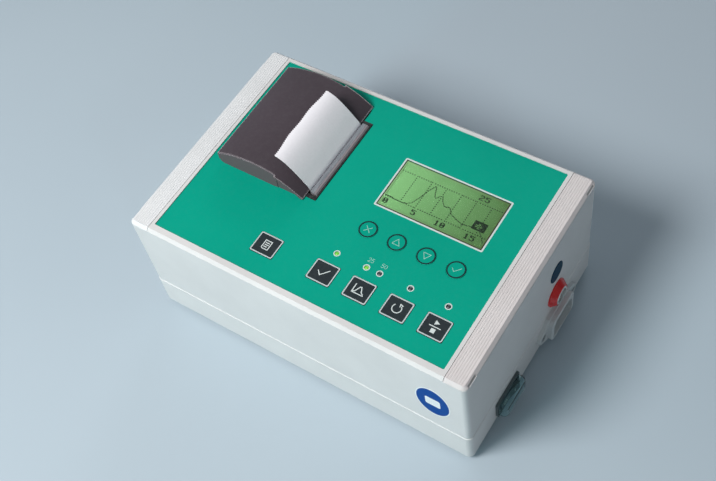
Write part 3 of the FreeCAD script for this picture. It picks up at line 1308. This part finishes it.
def inlet_screws():
    """Two cheese-head screws in the flange's ears."""
    front = CASE_LENGTH + INLET_FLANGE_THICK
    screws = []
    for y in inlet_screw_ys():
        top = front - INLET_HEAD_SINK
        head = rod_x(y, INLET_Z, front - INLET_HEAD_HEIGHT, top, INLET_HEAD_RADIUS)
        shank = rod_x(y, INLET_Z, CASE_LENGTH - CASE_WALL - INLET_SCREW_TAIL,
                      front - INLET_HEAD_HEIGHT + FIT, INLET_SCREW_RADIUS)
        slot = block(top - INLET_SLOT_DEPTH, front + OVER, y - INLET_HEAD_RADIUS, y + INLET_HEAD_RADIUS,
                     INLET_Z - INLET_SLOT_WIDTH / 2, INLET_Z + INLET_SLOT_WIDTH / 2)
        screws.append(join([head, shank]).cut(slot))
    return Part.makeCompound(screws)


def switch_block(margin, x0, x1, radius):
    return wall_rounded(SWITCH_Y, SWITCH_Z, SWITCH_LENGTH - 2 * margin, SWITCH_HEIGHT - 2 * margin,
                        x0, x1, radius)


def switch_cutout():
    return switch_block(SWITCH_SIDE - FIT, -CASE_WALL - OVER, OVER, SWITCH_BODY_CORNER + FIT)


def switch_frame():
    """The switch's bezel and the box behind the wall, open where the rocker sits."""
    bezel = switch_block(0, 0, SWITCH_FLANGE_THICK, SWITCH_CORNER)
    body = switch_block(SWITCH_SIDE, -SWITCH_BODY_DEPTH, OVER, SWITCH_BODY_CORNER)
    frame = join([bezel, body])
    well = switch_block(SWITCH_RIM, SWITCH_FLOOR - SWITCH_BODY_DEPTH, SWITCH_FLANGE_THICK + OVER,
                        SWITCH_WELL_CORNER)
    axle = rocker_axle(SWITCH_RIM - AXLE_SEAT, SLIP)
    return frame.cut(well).cut(axle)


def rocker_axle(margin, grow):
    half = SWITCH_HEIGHT / 2 - margin
    return Part.makeCylinder(AXLE_RADIUS + grow, 2 * half, Vector(CASE_LENGTH, SWITCH_Y, SWITCH_Z - half),
                             Vector(0, 0, 1))


def switch_rocker():
    """A two-faced rocker on a short axle, tilted to its off side at rest."""
    half = SWITCH_LENGTH / 2 - SWITCH_RIM - ROCKER_GAP - ROCKER_END_GAP
    height = SWITCH_HEIGHT / 2 - SWITCH_RIM - ROCKER_GAP
    tilt = math.radians(ROCKER_ANGLE / 2)
    end = ROCKER_RISE * ROCKER_SHARE
    points = [Vector(-ROCKER_ROOT, -half + ROCKER_TAPER, -height), Vector(end, -half, -height),
              Vector(end - math.tan(tilt) * half, 0, -height), Vector(end, half, -height),
              Vector(-ROCKER_ROOT, half - ROCKER_TAPER, -height)]
    body = Part.Face(Part.makePolygon(points + points[:1])).extrude(Vector(0, 0, 2 * height))
    body = body.makeFillet(ROCKER_ROUND, [e for e in edges_along(body, 2) if e.BoundBox.XMin > end - FIT])
    body.rotate(Vector(0, 0, 0), Vector(0, 0, 1), -ROCKER_ANGLE / 2)
    body.translate(Vector(CASE_LENGTH, SWITCH_Y, SWITCH_Z))
    return join([body, rocker_axle(SWITCH_RIM - AXLE_SEAT + AXLE_END_GAP, 0)])


def switch_splash_cover():
    """A clear soft cap over the rocker, seated on the bezel's face."""
    seat = SWITCH_FLANGE_THICK
    outer = switch_block(SPLASH_MARGIN, seat, SPLASH_REACH, SPLASH_ROUND)
    outer = outer.makeFillet(SPLASH_EDGE, edges_at(outer, 0, CASE_LENGTH + SPLASH_REACH))
    inner = switch_block(SPLASH_MARGIN + SPLASH_WALL, seat - OVER, SPLASH_REACH - SPLASH_WALL,
                         SPLASH_ROUND - SPLASH_WALL)
    inner = inner.makeFillet(SPLASH_EDGE - SPLASH_WALL,
                             edges_at(inner, 0, CASE_LENGTH + SPLASH_REACH - SPLASH_WALL))
    return outer.cut(inner)


def socket_collar():
    """The tapered red collar round the sensor socket."""
    taper = Part.makeCone(COLLAR_BASE_RADIUS, COLLAR_TOP_RADIUS, COLLAR_REACH - COLLAR_FOOT,
                          Vector(UPPER_SIDE + COLLAR_FOOT, SOCKET_Y, SOCKET_Z), Vector(1, 0, 0))
    foot = rod_x(SOCKET_Y, SOCKET_Z, UPPER_SIDE, UPPER_SIDE + COLLAR_FOOT, COLLAR_BASE_RADIUS)
    collar = join([foot, taper])
    collar = collar.makeFillet(COLLAR_EDGE, edges_at(collar, 0, UPPER_SIDE + COLLAR_REACH))
    return collar.cut(rod_x(SOCKET_Y, SOCKET_Z, UPPER_SIDE - OVER, UPPER_SIDE + COLLAR_REACH + OVER,
                            BARREL_RADIUS + HAIR))


def socket_barrel():
    """The socket's metal barrel through the wall, bored wide in front and narrower round the block."""
    face = UPPER_SIDE + BARREL_REACH
    back = UPPER_SIDE - BARREL_TAIL
    barrel = rod_x(SOCKET_Y, SOCKET_Z, back, face, BARREL_RADIUS)
    barrel = barrel.makeChamfer(BARREL_CHAMFER, edges_at(barrel, 0, face))
    mouth = rod_x(SOCKET_Y, SOCKET_Z, face - SOCKET_BORE_LENGTH, face + OVER, BARREL_BORE)
    seat = rod_x(SOCKET_Y, SOCKET_Z, back - OVER, face, CONTACT_BLOCK_RADIUS)
    return barrel.cut(mouth).cut(seat)


def socket_insert():
    """The dark contact block in the barrel, with a ring of contact holes."""
    face = UPPER_SIDE + BARREL_REACH - SOCKET_BORE_LENGTH
    body = rod_x(SOCKET_Y, SOCKET_Z, UPPER_SIDE - BARREL_TAIL, face, CONTACT_BLOCK_RADIUS - HAIR)
    holes = []
    for k in range(CONTACT_COUNT):
        y, z = on_arc((SOCKET_Y, SOCKET_Z), CONTACT_CIRCLE, 360.0 / CONTACT_COUNT * k + 90.0)
        holes.append(rod_x(y, z, face - CONTACT_DEPTH, face + OVER, CONTACT_RADIUS))
    return body.cut(Part.makeCompound(holes))


def socket_nut():
    """A hexagon nut on the barrel against the inside of the wall."""
    x = CASE_LENGTH - CASE_WALL
    reach = NUT_FLATS / math.sqrt(3.0)
    points = []
    for k in range(7):
        turn = math.radians(60.0 * k)
        points.append(Vector(x, SOCKET_Y + reach * math.cos(turn), SOCKET_Z + reach * math.sin(turn)))
    nut = Part.Face(Part.makePolygon(points)).extrude(Vector(-NUT_THICK, 0, 0))
    return nut.cut(rod_x(SOCKET_Y, SOCKET_Z, x - NUT_THICK - OVER, x + OVER, BARREL_RADIUS + HAIR))


def blanking_plug():
    """A blue snap-in plug that closes the spare socket hole."""
    head = rod_x(SOCKET_Y, PLUG_Z, UPPER_SIDE, UPPER_SIDE + PLUG_RISE, PLUG_RADIUS)
    head = head.makeFillet(PLUG_EDGE, edges_at(head, 0, UPPER_SIDE + PLUG_RISE))
    back = UPPER_SIDE - PLUG_STEM_LENGTH
    stem = rod_x(SOCKET_Y, PLUG_Z, back, UPPER_SIDE + FIT, PLUG_STEM_RADIUS)
    hollow = rod_x(SOCKET_Y, PLUG_Z, back - OVER, UPPER_SIDE, PLUG_STEM_RADIUS - PLUG_STEM_WALL)
    return join([head, stem]).cut(hollow)


# Boards in the case

def drilled_board(board):
    x0, x1, y0, y1 = board
    sheet = block(x0, x1, y0, y1, BOARD_Z, BOARD_Z + BOARD_THICK)
    return sheet.cut(Part.makeCompound([disc(x, y, 0, CASE_HEIGHT, BOARD_HOLE_RADIUS)
                                        for x, y in board_corners(board)]))


def main_board():
    return drilled_board(MAIN_BOARD)


def supply_board():
    return drilled_board(SUPPLY_BOARD)


def on_board(board, place, height):
    """A block on a board, from its place and size as shares of the board's length and depth."""
    x0, x1, y0, y1 = board
    length, depth = x1 - x0, y1 - y0
    x, y, wide, deep = place
    z = BOARD_Z + BOARD_THICK
    return block(x0 + length * x, x0 + length * (x + wide), y0 + depth * y, y0 + depth * (y + deep),
                 z, z + height)


def board_point(board, place):
    x0, x1, y0, y1 = board
    return x0 + (x1 - x0) * place[0], y0 + (y1 - y0) * place[1]


def board_chips():
    """The larger parts on the main board: processor, memories, converter, connectors and battery."""
    parts = [on_board(MAIN_BOARD, place, CHIP_HEIGHT) for place in CHIP_SHARES]
    parts += [on_board(MAIN_BOARD, place, CONNECTOR_HEIGHT) for place in CONNECTOR_SHARES]
    x, y = board_point(MAIN_BOARD, BATTERY_SHARES)
    z = BOARD_Z + BOARD_THICK
    parts.append(disc(x, y, z, z + BATTERY_HEIGHT, BATTERY_RADIUS))
    return Part.makeCompound(parts)


def transformer():
    """A laminated core with its winding bobbin."""
    x, y = board_point(SUPPLY_BOARD, TRANSFORMER_SHARES)
    middle_x = x + TRANSFORMER_LENGTH / 2
    middle_y = y + TRANSFORMER_DEPTH / 2
    z = BOARD_Z + BOARD_THICK
    core = block(x, x + TRANSFORMER_LENGTH, middle_y - CORE_STACK / 2, middle_y + CORE_STACK / 2,
                 z, z + TRANSFORMER_HEIGHT)
    bobbin = rounded(middle_x - BOBBIN_LENGTH / 2, middle_x + BOBBIN_LENGTH / 2, y,
                     y + TRANSFORMER_DEPTH, z + BOBBIN_LIFT, z + TRANSFORMER_HEIGHT - BOBBIN_LIFT,
                     BOBBIN_ROUND)
    return join([core, bobbin])


def supply_parts():
    """Capacitors, fuse holder, terminal block and rectifier on the supply board."""
    z = BOARD_Z + BOARD_THICK
    parts = []
    for place in ROUND_PART_SHARES:
        x, y = board_point(SUPPLY_BOARD, place)
        parts.append(disc(x, y, z, z + SUPPLY_PART_HEIGHT * place[3], SUPPLY_LENGTH * place[2]))
    parts += [on_board(SUPPLY_BOARD, place[:4], SUPPLY_PART_HEIGHT * place[4])
              for place in SQUARE_PART_SHARES]
    return Part.makeCompound(parts)


def board_screw(x, y, z, lean):
    """A screw whose head lies on a board face at z and whose shank points down (-1) or up (1)."""
    head = Part.makeCylinder(BOARD_HEAD_RADIUS, BOARD_HEAD_HEIGHT, Vector(x, y, z), Vector(0, 0, -lean))
    shank = Part.makeCylinder(BOARD_SCREW_RADIUS, BOARD_SCREW_LENGTH - SCREW_TIP_GAP,
                              Vector(x, y, z - lean * FIT),
                              Vector(0, 0, lean))
    return join([head, shank])


def board_screws():
    top = BOARD_Z + BOARD_THICK
    screws = [board_screw(x, y, top, -1)
              for board in (MAIN_BOARD, SUPPLY_BOARD) for x, y in board_corners(board)]
    screws += [board_screw(x, y, LCD_BOARD_TOP - BOARD_THICK, 1) for x, y in lcd_posts()]
    screws += [board_screw(x, y, KEYPAD_TOP - BOARD_THICK, 1) for x, y in KEYPAD_POSTS]
    return Part.makeCompound(screws)


PIECES = [
    lower_shell, upper_shell, case_gasket, left_cover_strip, right_cover_strip, case_screws,
    screw_inserts, rubber_feet, front_foil, lcd_window, lcd_panel, lcd_frame, lcd_board, status_leds,
    keypad_board, tact_switches, printer_frame, printer_cover, cover_hinge_pin, paper_strip, paper_web,
    paper_roll, roll_core, roll_spindle, platen_roller, platen_shaft, platen_gear, idler_gear,
    motor_pinion, feed_motor, thermal_head, tear_blade, blade_holder, inlet_body, inlet_pins,
    inlet_screws, switch_frame, switch_rocker, switch_splash_cover, socket_barrel, socket_collar,
    socket_insert, socket_nut, blanking_plug, main_board, board_chips, supply_board, transformer,
    supply_parts, board_screws,
]


def write(name, shape):
    shape = shape.copy()
    shape.translate(ORIGIN)
    shape.exportStep("parts/" + name + ".step")


os.makedirs("parts", exist_ok=True)
for piece in PIECES:
    write(piece.__name__, piece())
for key_name in KEYS:
    write(key_name, key(key_name))
